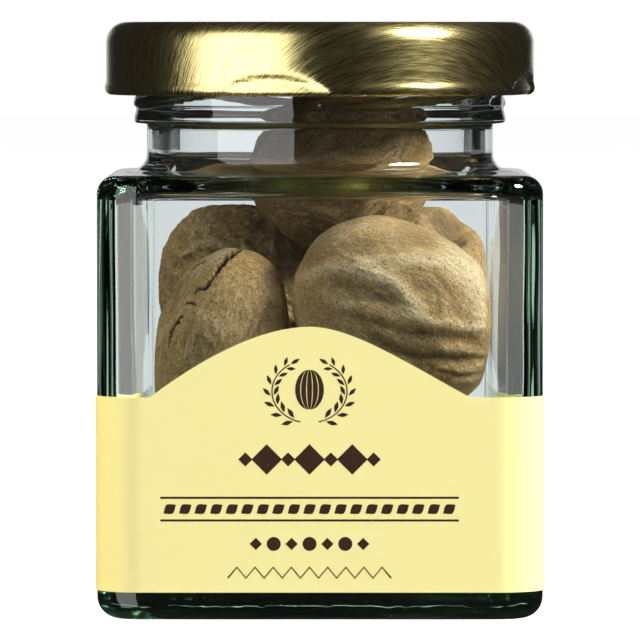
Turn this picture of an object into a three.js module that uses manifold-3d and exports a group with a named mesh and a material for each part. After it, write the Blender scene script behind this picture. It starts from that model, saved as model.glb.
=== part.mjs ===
// A square glass jar of whole nutmegs, shut with a twist-off lid and wrapped in a paper label.
// Millimetres, +Z up. The origin is the middle of the jar's base, and the front faces -Y.
import * as THREE from "three";
import { mergeVertices } from "three/addons/utils/BufferGeometryUtils.js";
import Module from "manifold-3d";

const wasm = await Module();
wasm.setup();

// ---------------------------------------------------------------- driving dimensions

const BODY = {
  side: 51.4, // across the flats
  corner: 5.3, // radius of the upright corners, seen from above
  insideCorner: 4.0, // radius of the same corners on the inside
  edge: 2.5, // rounding of the heel and of the shoulder's edge
  height: 51.0, // base to shoulder
  wall: 3.1,
  floor: 4.5,
  shoulder: 1.9, // thickness of the glass under the shoulder
  insideEdge: 1.1, // rounding inside, under the shoulder and round the floor
};

const NECK = {
  radius: 20.4, // the plain stretch above the shoulder
  bore: 18.0, // inside radius of the mouth
  flare: 2.4, // concave rounding between shoulder and neck
  beadRadius: 21.9,
  beadLow: 56.8,
  beadHigh: 58.9,
  finishRadius: 21.6, // the wall that carries the threads
  rim: 67.8, // height of the sealing lip
  lip: 1.0, // rounding of the lip
  segments: 32,
};

const THREAD = {
  count: 4,
  thickness: 1.1, // half the height of the raised ridge
  reach: 1.5, // how far the ridge stands out from its middle line
  stand: 21.4, // radius of the ridge's middle line
  length: 21, // along the wall, round ends left out
  low: 58.9, // height of the lower end
  rise: 0.109, // climb for each millimetre along the wall
  lowEnd: 269, // bearing of the front lug's lower end, degrees from +X
};

const LID = {
  radius: 25.2,
  low: 60.1,
  high: 68.7,
  sheet: 0.5,
  edge: 2.4, // rounding of the top edge
  curl: 0.65, // radius of the rolled lower edge
  panelRadius: 16.4, // the sunken middle panel
  panelDrop: 0.9,
  buttonRadius: 8,
  buttonRise: 0.35,
  segments: 32,
  lugs: 4,
  lugBearing: 256.7, // middle of the front lug, degrees from +X
  lugWidth: 9,
};

const LABEL = {
  low: 3.3,
  high: 25.7, // the straight stretch of the top edge
  peak: 33.8, // the top of the wave on the front
  peakX: -1.1,
  leftFoot: -19.5,
  rightFoot: 17.2,
  leftSweep: [7, 5.3], // how far in and up the curve is pulled at its left foot
  rightSweep: [8, 4.4],
  crest: [5, 4.5], // how far the peak stays level, to its left and right
  paper: 0.12,
  glueLine: 0.05,
  sideEnd: 15.5, // where its two ends stop on the sides; the back is bare
};

// Each nutmeg lies on its long axis, which is its own X before it is turned.
// at: middle. half: half its length, width and depth. turn: degrees about X, Y and Z.
// egg: how much fatter the blunt end is. dents: [bearing x, y, z, depth, spread].
const NUTMEGS = [
  {
    name: "nutmeg_front_right",
    at: [9.0, -11.1, 34.8],
    half: [12.8, 10.4, 11.1],
    turn: [0, 33, 4],
    egg: -0.07,
    lump: 0.02,
    phase: 0.4,
    dents: [[0.1, -0.35, 0.95, 0.05, 0.3]],
  },
  {
    name: "nutmeg_front_left",
    at: [-11.7, -8.4, 30.6],
    half: [12.0, 9.0, 8.1],
    turn: [0, 107, -6],
    egg: 0.04,
    lump: 0.018,
    phase: 1.7,
    dents: [[-0.4, 0.4, 0.8, 0.04, 0.4]],
  },
  {
    name: "nutmeg_back_left",
    at: [-8.55, 11.2, 35.7],
    half: [12.2, 10.2, 9.8],
    turn: [0, 42, 0],
    egg: 0.05,
    lump: 0.025,
    phase: 2.9,
    dents: [[0.7, 0.2, 0.6, 0.07, 0.4]],
  },
  {
    name: "nutmeg_back_right",
    at: [11.8, 10.8, 35.9],
    half: [11.2, 9.8, 9.7],
    turn: [0, -51, -42],
    egg: 0.06,
    lump: 0.025,
    phase: 4.1,
    dents: [[1, 0, 0.05, 0.16, 0.2]],
  },
  {
    name: "nutmeg_top",
    at: [2.5, 0.6, 51.5],
    half: [11.35, 10.1, 9.9],
    turn: [18, -22, -6],
    egg: -0.06,
    lump: 0.02,
    phase: 5.3,
    dents: [[0.5, 0.7, -0.4, 0.06, 0.4]],
  },
  {
    name: "nutmeg_low_front",
    at: [3.4, -11.3, 14.1],
    half: [12.0, 10.4, 9.3],
    turn: [5, 6, 6],
    egg: 0.06,
    lump: 0.02,
    phase: 0.9,
    dents: [[0.2, -0.5, 0.8, 0.06, 0.4]],
  },
  {
    name: "nutmeg_low_left",
    at: [-11.8, 6.9, 14.8],
    half: [12.3, 10.2, 10.0],
    turn: [-6, 5, 84],
    egg: -0.05,
    lump: 0.022,
    phase: 3.6,
    dents: [[0.5, 0.6, 0.5, 0.07, 0.4]],
  },
  {
    name: "nutmeg_low_right",
    at: [10.85, 10.85, 14.7],
    half: [11.1, 10.1, 9.8],
    turn: [10, -4, 40],
    egg: 0.05,
    lump: 0.02,
    phase: 2.2,
    dents: [[-0.5, 0.6, 0.5, 0.06, 0.4]],
  },
];

const NUTMEG_FACETS = 4; // how often each edge of the first icosahedron is split

// ---------------------------------------------------------------- finishes

const finish = (color, roughness, metalness = 0, more = {}) =>
  new THREE.MeshStandardMaterial({ color, roughness, metalness, ...more });

const greenGlass = finish(0xcfe0d6, 0.05, 0, { transparent: true, opacity: 0.35 });
const goldLacquer = finish(0xb09a4a, 0.35, 1);
const yellowPaper = finish(0xfdf6aa, 0.55);
const nutSkin = finish(0x97805a, 0.85);

// ---------------------------------------------------------------- helpers

const radians = THREE.MathUtils.degToRad;

// A closed geometry as a solid that can be joined and cut.
function solidOf(geometry) {
  const loose = geometry.index ? geometry.toNonIndexed() : geometry.clone();
  loose.deleteAttribute("normal");
  loose.deleteAttribute("uv");
  const merged = mergeVertices(loose, 1e-4);
  const vertProperties = merged.attributes.position.array;
  const triVerts = Uint32Array.from(merged.index.array);
  return new wasm.Manifold(new wasm.Mesh({ numProp: 3, vertProperties, triVerts }));
}

function geometryOf(solid) {
  const mesh = solid.getMesh();
  const geometry = new THREE.BufferGeometry();
  const corners = new Float32Array(mesh.vertProperties);
  geometry.setAttribute("position", new THREE.BufferAttribute(corners, 3));
  geometry.setIndex(new THREE.BufferAttribute(mesh.triVerts, 1));
  geometry.computeVertexNormals();
  return geometry;
}

function named(name, geometry, material) {
  const mesh = new THREE.Mesh(geometry, material);
  mesh.name = name;
  return mesh;
}

// A square with round corners, centred on the origin, run round anticlockwise from the back's middle.
function roundedSquare(side, corner, Kind = THREE.Shape) {
  const h = side / 2;
  const c = h - corner;
  const outline = new Kind();
  outline.moveTo(0, h);
  outline.lineTo(-c, h);
  outline.absarc(-c, c, corner, radians(90), radians(180));
  outline.lineTo(-h, -c);
  outline.absarc(-c, -c, corner, radians(180), radians(270));
  outline.lineTo(c, -h);
  outline.absarc(c, -c, corner, radians(270), radians(360));
  outline.lineTo(h, c);
  outline.absarc(c, c, corner, 0, radians(90));
  outline.lineTo(0, h);
  return outline;
}

// A square block with round uprights and rounded ends, from one height to another.
function softBlock(side, corner, edge, low, high) {
  const block = new THREE.ExtrudeGeometry(roundedSquare(side, corner), {
    depth: high - low - 2 * edge,
    curveSegments: 4,
    bevelEnabled: true,
    bevelThickness: edge,
    bevelSize: edge,
    bevelOffset: -edge,
    bevelSegments: 3,
  });
  return block.translate(0, 0, low + edge);
}

// Turns a profile of [radius, height] points round the Z axis.
function turned(points, segments) {
  const profile = points.map(([radius, height]) => new THREE.Vector2(radius, height));
  return new THREE.LatheGeometry(profile, segments).rotateX(Math.PI / 2);
}

// Points of an arc of a profile, as [radius, height] pairs.
function arc(radius, height, size, from, to, steps) {
  return Array.from({ length: steps + 1 }, (_, i) => {
    const a = radians(from + ((to - from) * i) / steps);
    return [radius + size * Math.cos(a), height + size * Math.sin(a)];
  });
}

// Bends a bar that lies along Y round the Z axis, its middle at a bearing, climbing as it goes.
function bentRound(bar, radius, height, bearing, rise = 0) {
  const place = bar.attributes.position;
  for (let i = 0; i < place.count; i++) {
    const angle = radians(bearing) + place.getY(i) / radius;
    const reach = radius + place.getX(i);
    const lift = height + place.getZ(i) + rise * place.getY(i);
    place.setXYZ(i, reach * Math.cos(angle), reach * Math.sin(angle), lift);
  }
  return bar;
}

// ---------------------------------------------------------------- jar

function neckOutside() {
  const { radius, flare, beadRadius, beadLow, beadHigh, finishRadius, rim, lip } = NECK;
  const beadMiddle = (beadLow + beadHigh) / 2;
  const beadHalf = (beadHigh - beadLow) / 2;
  return turned(
    [
      [0, BODY.height - BODY.shoulder / 2],
      [radius + flare, BODY.height - BODY.shoulder / 2],
      ...arc(radius + flare, BODY.height + flare, flare, 270, 180, 4),
      [radius, beadLow - 0.5],
      [beadRadius - 0.7, beadLow],
      ...arc(beadRadius - beadHalf, beadMiddle, beadHalf, -50, 50, 3),
      [finishRadius, beadHigh + 0.3],
      ...arc(finishRadius - lip, rim - lip, lip, 0, 90, 3),
      [0, rim],
    ],
    NECK.segments,
  );
}

function neckInside() {
  const ceiling = BODY.height - BODY.shoulder;
  const soft = 3; // rounding between the inside of the shoulder and the bore
  const past = 1; // how far the cutter runs past the ceiling and the rim
  return turned(
    [
      [0, ceiling - past],
      [NECK.bore + soft, ceiling - past],
      ...arc(NECK.bore + soft, ceiling + soft, soft, 270, 180, 3),
      [NECK.bore, NECK.rim + past],
      [0, NECK.rim + past],
    ],
    NECK.segments,
  );
}

function threadLug(index) {
  const { count, thickness, reach, stand, length, low, rise, lowEnd } = THREAD;
  const bar = new THREE.CapsuleGeometry(thickness, length, 2, 6, 6);
  bar.scale(reach / thickness, 1, 1);
  const halfWay = THREE.MathUtils.radToDeg(length / 2 / stand);
  const bearing = lowEnd + (index * 360) / count + halfWay;
  return bentRound(bar, stand, low + (rise * length) / 2, bearing, rise);
}

function makeJar() {
  const outside = softBlock(BODY.side, BODY.corner, BODY.edge, 0, BODY.height);
  const inside = softBlock(
    BODY.side - 2 * BODY.wall,
    BODY.insideCorner,
    BODY.insideEdge,
    BODY.floor,
    BODY.height - BODY.shoulder,
  );
  let glass = solidOf(outside).add(solidOf(neckOutside()));
  for (let i = 0; i < THREAD.count; i++) glass = glass.add(solidOf(threadLug(i)));
  glass = glass.subtract(solidOf(inside)).subtract(solidOf(neckInside()));
  return named("jar", geometryOf(glass), greenGlass);
}

// ---------------------------------------------------------------- lid

function lidShell() {
  const { radius, low, high, sheet, edge, curl } = LID;
  const { panelRadius, panelDrop, buttonRadius, buttonRise } = LID;
  const panel = high - panelDrop;
  const step = 0.8; // width of the slope from the panel up to the outer ring
  const proud = 0.2; // how far the curl stands out of the skirt
  const curlIn = radius + proud - curl;
  const skirtFoot = low + 2 * curl + proud;
  return turned(
    [
      [0, panel - sheet],
      [0, panel + buttonRise],
      [buttonRadius * 0.6, panel + buttonRise * 0.7],
      [buttonRadius, panel],
      [panelRadius, panel],
      [panelRadius + step, high],
      ...arc(radius - edge, high - edge, edge, 90, 0, 4),
      [radius, skirtFoot],
      ...arc(curlIn, low + curl, curl, 30, -180, 5),
      [radius - sheet, skirtFoot],
      ...arc(radius - edge, high - edge, edge - sheet, 0, 90, 4),
      [panelRadius + step + sheet, high - sheet],
      [panelRadius + sheet, panel - sheet],
      [0, panel - sheet],
    ].reverse(),
    LID.segments,
  );
}

function lidLug(index) {
  const { radius, sheet, low, curl, lugs, lugBearing, lugWidth } = LID;
  const depth = 1.3;
  const thick = 0.8;
  const bite = 0.3; // how far the lug runs into the skirt's sheet
  const tab = new THREE.BoxGeometry(depth, lugWidth, thick, 1, 4, 1);
  const reach = radius - sheet - depth / 2 + bite;
  return bentRound(tab, reach, low + curl, lugBearing + (index * 360) / lugs);
}

function makeLid() {
  let lid = solidOf(lidShell());
  for (let i = 0; i < LID.lugs; i++) lid = lid.add(solidOf(lidLug(i)));
  return named("lid", geometryOf(lid), goldLacquer);
}

// ---------------------------------------------------------------- label

// The outline of the label seen from the front: straight, with one soft wave in the middle.
function waveOutline(reach) {
  const { low, high, peak, peakX, leftFoot, rightFoot } = LABEL;
  const [leftIn, leftUp] = LABEL.leftSweep;
  const [rightIn, rightUp] = LABEL.rightSweep;
  const [crestLeft, crestRight] = LABEL.crest;
  const outline = new THREE.Shape();
  outline.moveTo(-reach, low);
  outline.lineTo(reach, low);
  outline.lineTo(reach, high);
  outline.lineTo(rightFoot, high);
  outline.bezierCurveTo(rightFoot - rightIn, high + rightUp, peakX + crestRight, peak, peakX, peak);
  outline.bezierCurveTo(peakX - crestLeft, peak, leftFoot + leftIn, high + leftUp, leftFoot, high);
  outline.lineTo(-reach, high);
  outline.lineTo(-reach, low);
  return outline;
}

function makeLabel() {
  const { low, high, peak, paper, glueLine, sideEnd } = LABEL;
  const inner = BODY.side + 2 * glueLine;
  const outer = inner + 2 * paper;
  const ring = roundedSquare(outer, BODY.corner + glueLine + paper);
  ring.holes.push(roundedSquare(inner, BODY.corner + glueLine, THREE.Path));
  const sleeve = new THREE.ExtrudeGeometry(ring, {
    depth: peak - low,
    curveSegments: 6,
    bevelEnabled: false,
  }).translate(0, 0, low);

  const reach = outer / 2 + 1;
  const front = new THREE.ExtrudeGeometry(waveOutline(reach), {
    depth: reach,
    curveSegments: 14,
    bevelEnabled: false,
  }).rotateX(Math.PI / 2);
  const overlap = 0.5;
  const sides = new THREE.BoxGeometry(2 * reach, sideEnd + overlap, high - low);
  sides.translate(0, (sideEnd - overlap) / 2, (low + high) / 2);

  const kept = solidOf(front).add(solidOf(sides));
  return named("label", geometryOf(solidOf(sleeve).intersect(kept)), yellowPaper);
}

// ---------------------------------------------------------------- nutmegs

// A unit ball pushed out and in to the uneven egg of one nutmeg, in the nutmeg's own axes.
function nutGeometry({ half, egg, lump, phase, dents }) {
  const ball = new THREE.IcosahedronGeometry(1, NUTMEG_FACETS);
  const place = ball.attributes.position;
  const p = new THREE.Vector3();
  const hollows = dents.map(([x, y, z, depth, spread]) => ({
    toward: new THREE.Vector3(x, y, z).normalize(),
    depth,
    spread,
  }));
  for (let i = 0; i < place.count; i++) {
    p.fromBufferAttribute(place, i).normalize();
    const round = Math.atan2(p.z, p.y);
    const waist = 1 - p.x * p.x;
    let size = 1 + lump * waist * Math.sin(3 * round + phase);
    size += lump * Math.sin(2 * round + 3 * p.x + 2 * phase);
    for (const { toward, depth, spread } of hollows) {
      size -= depth * Math.exp(-(p.distanceTo(toward) ** 2) / (2 * spread * spread));
    }
    const girth = size * (1 - egg * p.x);
    place.setXYZ(i, p.x * size * half[0], p.y * girth * half[1], p.z * girth * half[2]);
  }
  ball.deleteAttribute("normal");
  ball.deleteAttribute("uv");
  const merged = mergeVertices(ball, 1e-4);
  merged.computeVertexNormals();
  return merged;
}

function makeNutmeg(nut) {
  const mesh = named(nut.name, nutGeometry(nut), nutSkin);
  mesh.position.set(...nut.at);
  mesh.rotation.set(...nut.turn.map(radians), "ZYX");
  return mesh;
}

// ---------------------------------------------------------------- the whole

const pack = new THREE.Group();
pack.add(makeJar(), makeLid(), makeLabel(), ...NUTMEGS.map(makeNutmeg));

export default pack;
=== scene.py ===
"""Builds a square glass jar of whole nutmegs, with a twist-off lid and a wave-topped label.

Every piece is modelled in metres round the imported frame. The front faces -Y and the jar stands
on Z = 0.
"""

import math

import bmesh
import bpy
from bpy.props import FloatProperty, FloatVectorProperty, IntProperty, PointerProperty
from mathutils import Euler, Matrix, Vector, noise
from mathutils.geometry import interpolate_bezier


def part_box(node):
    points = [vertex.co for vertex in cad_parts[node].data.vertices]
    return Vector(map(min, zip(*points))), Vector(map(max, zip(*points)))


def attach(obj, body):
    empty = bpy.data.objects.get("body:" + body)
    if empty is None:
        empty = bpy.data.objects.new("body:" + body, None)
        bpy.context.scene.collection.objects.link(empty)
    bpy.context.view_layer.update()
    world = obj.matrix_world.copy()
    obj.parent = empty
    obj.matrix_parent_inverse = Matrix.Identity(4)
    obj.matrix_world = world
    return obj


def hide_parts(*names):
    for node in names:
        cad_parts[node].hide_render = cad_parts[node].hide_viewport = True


bl_info = {
    "name": "Jar of Whole Nutmegs",
    "version": (1, 0, 0),
    "blender": (4, 5, 0),
    "location": "3D View > Sidebar > Nutmeg Jar",
    "description": "Builds a glass spice jar with a twist-off lid, a paper label and whole nutmegs",
    "category": "Add Mesh",
}

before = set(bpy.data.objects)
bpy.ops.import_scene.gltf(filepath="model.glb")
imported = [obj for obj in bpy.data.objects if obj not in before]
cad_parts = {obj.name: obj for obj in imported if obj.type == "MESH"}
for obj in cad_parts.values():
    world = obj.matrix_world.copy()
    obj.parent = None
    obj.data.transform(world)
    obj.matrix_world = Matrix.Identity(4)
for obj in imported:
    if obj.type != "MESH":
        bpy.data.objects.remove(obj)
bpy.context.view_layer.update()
MM = 0.001
FULL_TURN = 2 * math.pi

JAR_LOW, JAR_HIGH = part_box("jar")
LID_LOW, LID_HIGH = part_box("lid")
LABEL_LOW, LABEL_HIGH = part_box("label")
NUT_NAMES = sorted(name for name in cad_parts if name.startswith("nutmeg"))


# ------------------------------------------------------------------ settings


def length(name, description, default):
    """A length that the sidebar shows in scene units."""
    return FloatProperty(
        name=name,
        description=description,
        default=default,
        subtype="DISTANCE",
        unit="LENGTH",
        precision=5,
    )


def colour(name, description, default):
    return FloatVectorProperty(
        name=name,
        description=description,
        default=default,
        subtype="COLOR",
        size=3,
        min=0.0,
        max=1.0,
    )


class GlassSettings(bpy.types.PropertyGroup):
    """Sizes and tint of the glass jar."""

    side: length("Side", "Width of the square body", JAR_HIGH.x - JAR_LOW.x)
    corner: length("Corner", "Radius of the upright corners", 5.3 * MM)
    edge: length("Edge", "Rounding of the heel", 2.5 * MM)
    shoulder_edge: length("Shoulder edge", "Rounding of the shoulder's edge", 2.1 * MM)
    inner_corner: length("Inner corner", "Radius of the upright corners inside", 4.0 * MM)
    push_up: length("Push-up", "How far the base is domed up", 2.7 * MM)
    height: length("Body height", "Base to shoulder", 51.0 * MM)
    wall: length("Wall", "Thickness of the glass", 3.1 * MM)
    floor: length("Floor", "Thickness of the base", 4.5 * MM)
    shoulder: length("Shoulder", "Thickness of the glass at the shoulder", 1.8 * MM)
    neck: length("Neck", "Radius of the plain neck", 20.4 * MM)
    bore: length("Bore", "Inside radius of the mouth", 18.0 * MM)
    bead: length("Bead", "Radius of the bead below the lid", 21.9 * MM)
    bead_low: length("Bead low", "Height of the bead's flat underside", 56.8 * MM)
    bead_high: length("Bead high", "Height where the bead runs out", 58.9 * MM)
    finish: length("Finish", "Radius of the wall that carries the threads", 21.6 * MM)
    rim: length("Rim", "Height of the sealing lip", JAR_HIGH.z)
    thread_low: length("Thread start", "Height of each thread's lower end", 58.9 * MM)
    waviness: length("Waviness", "Unevenness of the inside wall", 0.13 * MM)
    tint: colour("Tint", "Colour left in light after a long way", (0.44, 0.76, 0.54))
    depth_tint: FloatProperty(
        name="Tint strength", description="Absorption per metre", default=26.0, min=0.0
    )


class LidSettings(bpy.types.PropertyGroup):
    """Sizes and colours of the twist-off lid."""

    radius: length("Radius", "Outside radius of the skirt", 25.2 * MM)
    low: length("Low", "Height of the rolled edge", LID_LOW.z)
    high: length("High", "Height of the top", LID_HIGH.z)
    sheet: length("Sheet", "Thickness of the metal", 0.3 * MM)
    edge: length("Edge", "Rounding of the top edge", 2.4 * MM)
    curl: length("Curl", "Radius of the rolled edge", 0.85 * MM)
    panel: length("Panel", "Radius of the sunken middle", 16.4 * MM)
    drop: length("Drop", "How deep the panel is sunk", 0.9 * MM)
    dimple: length("Dimple", "How deep each lug presses the skirt in", 0.75 * MM)
    gold: colour("Gold", "Colour of the lacquer", (0.72, 0.6, 0.25))
    deep_gold: colour("Deep gold", "Colour in the brush lines", (0.5, 0.4, 0.14))


class LabelSettings(bpy.types.PropertyGroup):
    """Outline and colours of the paper label."""

    low: length("Low", "Height of the lower edge", LABEL_LOW.z)
    high: length("High", "Height of the straight upper edge", 25.7 * MM)
    peak: length("Peak", "Height of the wave's crest", LABEL_HIGH.z)
    peak_x: length("Crest", "Place of the crest along the front", -1.1 * MM)
    left_foot: length("Left foot", "Where the wave starts on the left", -19.5 * MM)
    right_foot: length("Right foot", "Where the wave ends on the right", 17.2 * MM)
    side_end: length("Side end", "How far back its ends stop on the sides", LABEL_HIGH.y)
    paper: length("Paper", "Thickness of the paper", 0.12 * MM)
    yellow: colour("Paper colour", "Pale yellow of the paper", (0.955, 0.875, 0.365))
    ink: colour("Ink", "Dark brown of the print", (0.035, 0.014, 0.006))
    soft_ink: colour("Soft ink", "Lighter brown of the thin print", (0.16, 0.062, 0.014))


class NutSettings(bpy.types.PropertyGroup):
    """Relief and colours of the nutmegs."""

    furrow: length("Furrow", "Depth of the long furrows", 0.4 * MM)
    grain: length("Grain", "Depth of the fine wrinkles", 0.09 * MM)
    detail: IntProperty(
        name="Detail", description="Subdivision of the nuts in front", default=4, min=2, max=4
    )
    skin: colour("Skin", "Brown of the bare seed", (0.262, 0.155, 0.055))
    # Ridge and hollow are partly the seed's own browns and partly painted light: the pale ridge
    # colour carries a painted highlight and the dark hollow colour a painted shade.
    ridge: colour("Ridge", "Pale brown of the ridges", (0.475, 0.367, 0.232))
    hollow: colour("Hollow", "Dark brown of the furrows", (0.076, 0.041, 0.014))


class StudioSettings(bpy.types.PropertyGroup):
    """Camera and light."""

    distance: length("Distance", "Camera to the middle of the jar", 0.83)
    span: length("Span", "Width of the picture at the jar", 75.6 * MM)
    aim: length("Aim", "Height that the camera looks at", 33.5 * MM)
    light_distance: length("Light distance", "Softboxes to the jar", 1.2)
    tunnel_near: length("Card gap", "Black cards from the camera's axis beside the jar", 0.36)
    tunnel_low: length("Low card gap", "Lower black card below the camera's axis", 0.045)
    tunnel_far: length("Far card gap", "Side cards from the camera's axis at their far end", 0.34)
    tunnel_far_rise: length("Far card rise", "Upper card above the axis at its far end", 0.12)
    tunnel_length: length("Card length", "How far the black cards reach back", 0.9)
    shell: length("Shell", "Radius of the dim half shell round the camera's side", 1.5)
    elevation: FloatProperty(
        name="Elevation",
        description="Angle of the camera above the horizon",
        default=math.radians(2.4),
        subtype="ANGLE",
    )


class JarSettings(bpy.types.PropertyGroup):
    """All settings of the jar of nutmegs."""

    glass: PointerProperty(type=GlassSettings)
    lid: PointerProperty(type=LidSettings)
    label: PointerProperty(type=LabelSettings)
    nuts: PointerProperty(type=NutSettings)
    studio: PointerProperty(type=StudioSettings)


# ------------------------------------------------------------------ shader sums


class Signal:
    """A shader socket that can stand in a Python expression, which then adds its nodes."""

    def __init__(self, finish, socket):
        self.finish = finish
        self.socket = socket

    def sum(self, operation, *values):
        return self.finish.node("ShaderNodeMath", {"operation": operation}, values)

    def __add__(self, other):
        return self.sum("ADD", self, other)

    def __radd__(self, other):
        return self.sum("ADD", other, self)

    def __sub__(self, other):
        return self.sum("SUBTRACT", self, other)

    def __rsub__(self, other):
        return self.sum("SUBTRACT", other, self)

    def __mul__(self, other):
        return self.sum("MULTIPLY", self, other)

    def __rmul__(self, other):
        return self.sum("MULTIPLY", other, self)

    def step(self, low, high):
        """0 below low, 1 above high and smooth between them."""
        return self.finish.node(
            "ShaderNodeMapRange",
            {"interpolation_type": "SMOOTHSTEP"},
            {"Value": self, "From Min": low, "From Max": high},
        )


class Finish:
    """A node tree of one material, or of the world, and the ways to add to it."""

    def __init__(self, owner):
        owner.use_nodes = True
        self.owner = owner
        self.tree = owner.node_tree
        self.tree.nodes.clear()

    def node(self, kind, settings=None, inputs=(), output=0):
        """Adds a node: its settings first, then the values or links of its sockets."""
        made = self.tree.nodes.new(kind)
        for key, value in (settings or {}).items():
            if key == "stops":
                self.set_stops(made.color_ramp, value)
            else:
                setattr(made, key, value)
        pairs = inputs.items() if isinstance(inputs, dict) else enumerate(inputs)
        for key, value in pairs:
            if isinstance(value, Signal):
                self.tree.links.new(value.socket, made.inputs[key])
            else:
                made.inputs[key].default_value = value
        return Signal(self, made.outputs[output]) if made.outputs else made

    @staticmethod
    def set_stops(ramp, stops):
        while len(ramp.elements) < len(stops):
            ramp.elements.new(0.5)
        for element, (place, value) in zip(ramp.elements, stops):
            element.position = place
            element.color = (*value, 1.0)

    def mix(self, share, first, second):
        """Two colours mixed by a share from 0 to 1."""
        first, second = (c if isinstance(c, Signal) else (*c, 1.0) for c in (first, second))
        inputs = {0: share, 6: first, 7: second}
        return self.node("ShaderNodeMix", {"data_type": "RGBA"}, inputs, output=2)

    def grain(self, uv, bearing, stretch):
        """A UV map turned to a bearing and then drawn out along it."""
        inputs = {
            "Vector": self.node("ShaderNodeUVMap", {"uv_map": uv}),
            "Rotation": (0.0, 0.0, bearing),
            "Scale": (1.0, 1.0 / stretch, 1.0),
        }
        return self.node("ShaderNodeMapping", {"vector_type": "TEXTURE"}, inputs)

    def place(self, scale=(1.0, 1.0, 1.0), shift=(0.0, 0.0, 0.0)):
        """Object coordinates, stretched and moved."""
        source = self.node("ShaderNodeTexCoord", output=3)
        return self.node("ShaderNodeMapping", None, {0: source, "Location": shift, "Scale": scale})

    def axis(self, index):
        """One of the object coordinates."""
        source = self.node("ShaderNodeTexCoord", output=3)
        return self.node("ShaderNodeSeparateXYZ", None, [source], output=index)

    def noise(self, where, scale, detail=2.0, roughness=0.5, distortion=0.0):
        inputs = {
            "Vector": where,
            "Scale": scale,
            "Detail": detail,
            "Roughness": roughness,
            "Distortion": distortion,
        }
        return self.node("ShaderNodeTexNoise", None, inputs)

    def light_path(self, name):
        return self.node("ShaderNodeLightPath", output=name)

    def attribute(self, name):
        return self.node("ShaderNodeAttribute", {"attribute_name": name}, output=2)

    def bump(self, height, distance, strength=1.0):
        inputs = {"Height": height, "Distance": distance, "Strength": strength}
        return self.node("ShaderNodeBump", None, inputs)

    def coated(self, inputs):
        """Ends a finish with one Principled shader."""
        return self.surface(self.node("ShaderNodeBsdfPrincipled", None, inputs))

    def surface(self, shader, volume=None):
        out = self.tree.nodes.new("ShaderNodeOutputMaterial")
        self.tree.links.new(shader.socket, out.inputs["Surface"])
        if volume:
            self.tree.links.new(volume.socket, out.inputs["Volume"])
        return self.owner


def new_finish(name):
    return Finish(bpy.data.materials.new(name))


# ------------------------------------------------------------------ finishes


def glass_finish(glass):
    """Clear container glass that turns green where light goes a long way through it."""
    f = new_finish("ClearGreenGlass")
    ripple = f.noise(f.place(scale=(1.0, 1.0, 0.25)), 110.0, detail=1.0)
    stipple = f.noise(f.place(), 520.0, detail=1.0) * (1.0 - f.axis(2).step(0.0036, 0.005))
    normal = f.bump(ripple + stipple * 2.5, 0.00012, 0.5)
    shell = f.node(
        "ShaderNodeBsdfGlass",
        None,
        {"Color": (1, 1, 1, 1), "Roughness": 0.0, "IOR": 1.52, "Normal": normal},
    )
    lamp_way = f.node("ShaderNodeBsdfTransparent", None, {"Color": (0.93, 0.96, 0.94, 1)})
    is_shadow = f.light_path("Is Shadow Ray")
    mixed = f.node("ShaderNodeMixShader", None, {0: is_shadow, 1: shell, 2: lamp_way})
    inside = f.node(
        "ShaderNodeVolumeAbsorption",
        None,
        {"Color": (*glass.tint, 1.0), "Density": glass.depth_tint},
    )
    return f.surface(mixed, inside)


def lid_finish(lid):
    """Gold lacquer over sheet metal that was brushed one way before it was pressed."""
    f = new_finish("BrushedGoldLacquer")
    sheet = f.grain("Sheet", math.radians(27), 20.0)
    fine = f.noise(sheet, 320.0, detail=1.0, roughness=0.6)
    broad = f.noise(sheet, 60.0, detail=2.0, roughness=0.6)
    streak = fine * 0.6 + broad * 0.4
    gold = f.mix(streak.step(0.34, 0.6), lid.deep_gold, lid.gold)
    specks = f.noise(f.place(), 900.0, detail=1.0).step(0.74, 0.78)
    gold = f.mix(specks * 0.35, gold, (0.95, 0.86, 0.6))
    rough = 0.23 + streak.step(0.3, 0.7) * 0.08
    return f.coated(
        {
            "Base Color": gold,
            "Metallic": 1.0,
            "Roughness": rough,
            "Anisotropic": 0.7,
            "Anisotropic Rotation": 0.25,
            "Coat Weight": 1.0,
            "Coat Roughness": 0.16,
            "Normal": f.bump(streak, 0.00006, 0.6),
        }
    )


def paper_finish(label):
    """Satin label paper, faint blotches and fibre, with painted light and shade on its two corners.
    """
    f = new_finish("PaleYellowPaper")
    across = f.axis(0)
    # Painted light and shade: the left corner, turned away from the key light, is mixed toward a
    # deep golden shade, and the right corner, which the key light falls on, toward a duller yellow.
    painted_shade_left = 1.0 - across.step(-0.0262, -0.0195)
    paler = across.step(0.0195, 0.026)
    tone = f.mix(painted_shade_left * 0.5, label.yellow, (0.9, 0.68, 0.15))
    tone = f.mix(paler * 0.4, tone, (0.85, 0.77, 0.34))
    blotch = f.noise(f.place(), 120.0, detail=3.0, roughness=0.6).step(0.5, 0.8)
    tone = f.mix(blotch * 0.10, tone, (0.8, 0.8, 0.34))
    fibre = f.noise(f.place(scale=(1.0, 1.0, 3.0)), 5200.0, detail=2.0)
    tone = f.mix(fibre * 0.05, tone, (0.8, 0.7, 0.3))
    return f.coated(
        {
            "Base Color": tone,
            "Roughness": 0.42 + fibre * 0.12,
            "Specular IOR Level": 0.35,
            "Normal": f.bump(fibre, 0.00002, 0.4),
        }
    )


def ink_finish(name, ink):
    """Printed ink, a little broken where the paper's fibre shows through."""
    f = new_finish(name)
    broken = f.noise(f.place(), 3800.0, detail=3.0, roughness=0.7)
    tone = f.mix(broken.step(0.6, 0.78) * 0.4, ink, (0.32, 0.2, 0.08))
    return f.coated(
        {
            "Base Color": tone,
            "Roughness": 0.6,
            "Specular IOR Level": 0.15,
            "Normal": f.bump(broken, 0.00001, 0.3),
        }
    )


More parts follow.
